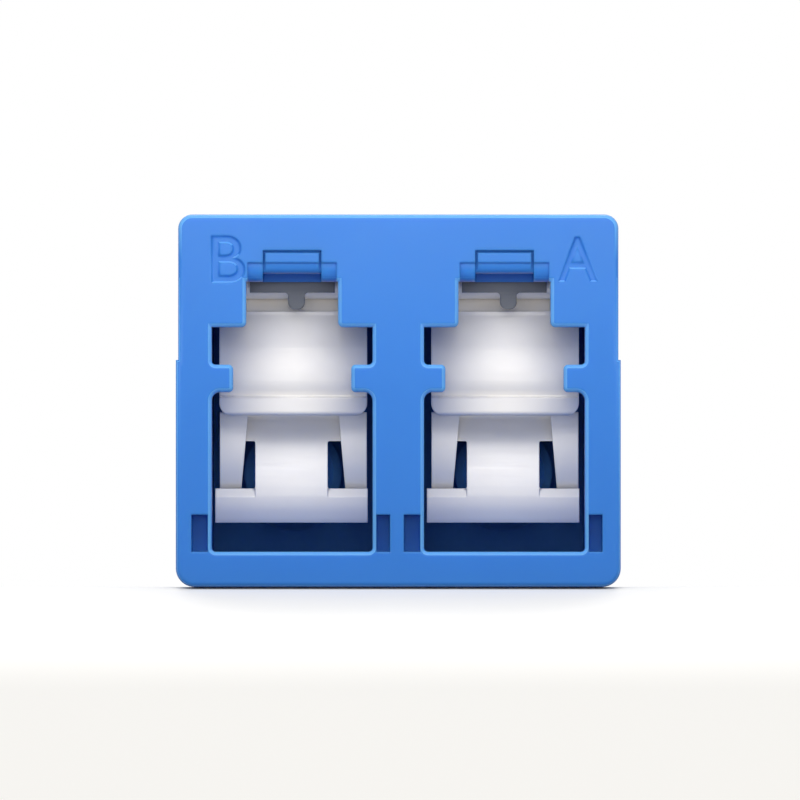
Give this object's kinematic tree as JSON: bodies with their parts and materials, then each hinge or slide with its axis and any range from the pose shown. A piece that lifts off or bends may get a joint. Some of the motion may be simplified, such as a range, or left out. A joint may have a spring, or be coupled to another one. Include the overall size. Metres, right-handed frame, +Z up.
{
  "type": "duplex lc fibre adapter with internal shutters",
  "caption": "Moulded fibre adapter block that joins paired small plugs end to end, with latch slots and a spring-closed metal shutter in each front port.",
  "frame": {"origin": "under the middle of the body, on the face that it rests on", "axes": "+X to the right seen from the front, +Y from the shuttered front face to the back, +Z up towards the latch slots"},
  "size_m": [0.013, 0.0274, 0.011],
  "materials": {
    "housing_plastic": "satin moulded blue",
    "cradle_plastic": "satin moulded blue",
    "holder_plastic": "moulded blue",
    "shutter_steel": "satin, pressed from sheet",
    "bracket_steel": "dull spring strip",
    "pin_steel": "ground",
    "spring_wire": "drawn wire",
    "sleeve_zirconia": "polished zirconia"
  },
  "bodies": {
    "housing": {"front_housing": "housing_plastic", "rear_housing": "housing_plastic", "sleeve_holder_front": "holder_plastic", "sleeve_holder_rear": "holder_plastic", "split_sleeve_b": "sleeve_zirconia", "shutter_cradle_b": "cradle_plastic", "stop_bracket_b": "bracket_steel", "hinge_pin_b": "pin_steel", "torsion_spring_b": "spring_wire", "split_sleeve_a": "sleeve_zirconia", "shutter_cradle_a": "cradle_plastic", "stop_bracket_a": "bracket_steel", "hinge_pin_a": "pin_steel", "torsion_spring_a": "spring_wire"},
    "shutter_a": {"shutter_flap_a": "shutter_steel", "shutter_blade_a": "shutter_steel"},
    "shutter_b": {"shutter_flap_b": "shutter_steel", "shutter_blade_b": "shutter_steel"}
  },
  "joints": [
    {"name": "shutter_a_swing", "type": "hinge", "parent": "housing", "child": "shutter_a", "pos_m": [0.00313, -0.01015, 0.00902], "axis": [1, 0, 0], "range_deg": [0, 80], "stiffness_Nm_per_rad": 0.0003, "springref_deg": -85.94, "deforming": ["torsion_spring_a"]},
    {"name": "shutter_b_swing", "type": "hinge", "parent": "housing", "child": "shutter_b", "pos_m": [-0.00313, -0.01015, 0.00902], "axis": [1, 0, 0], "range_deg": [0, 80], "stiffness_Nm_per_rad": 0.0003, "springref_deg": -85.94, "deforming": ["torsion_spring_b"]}
  ]
}
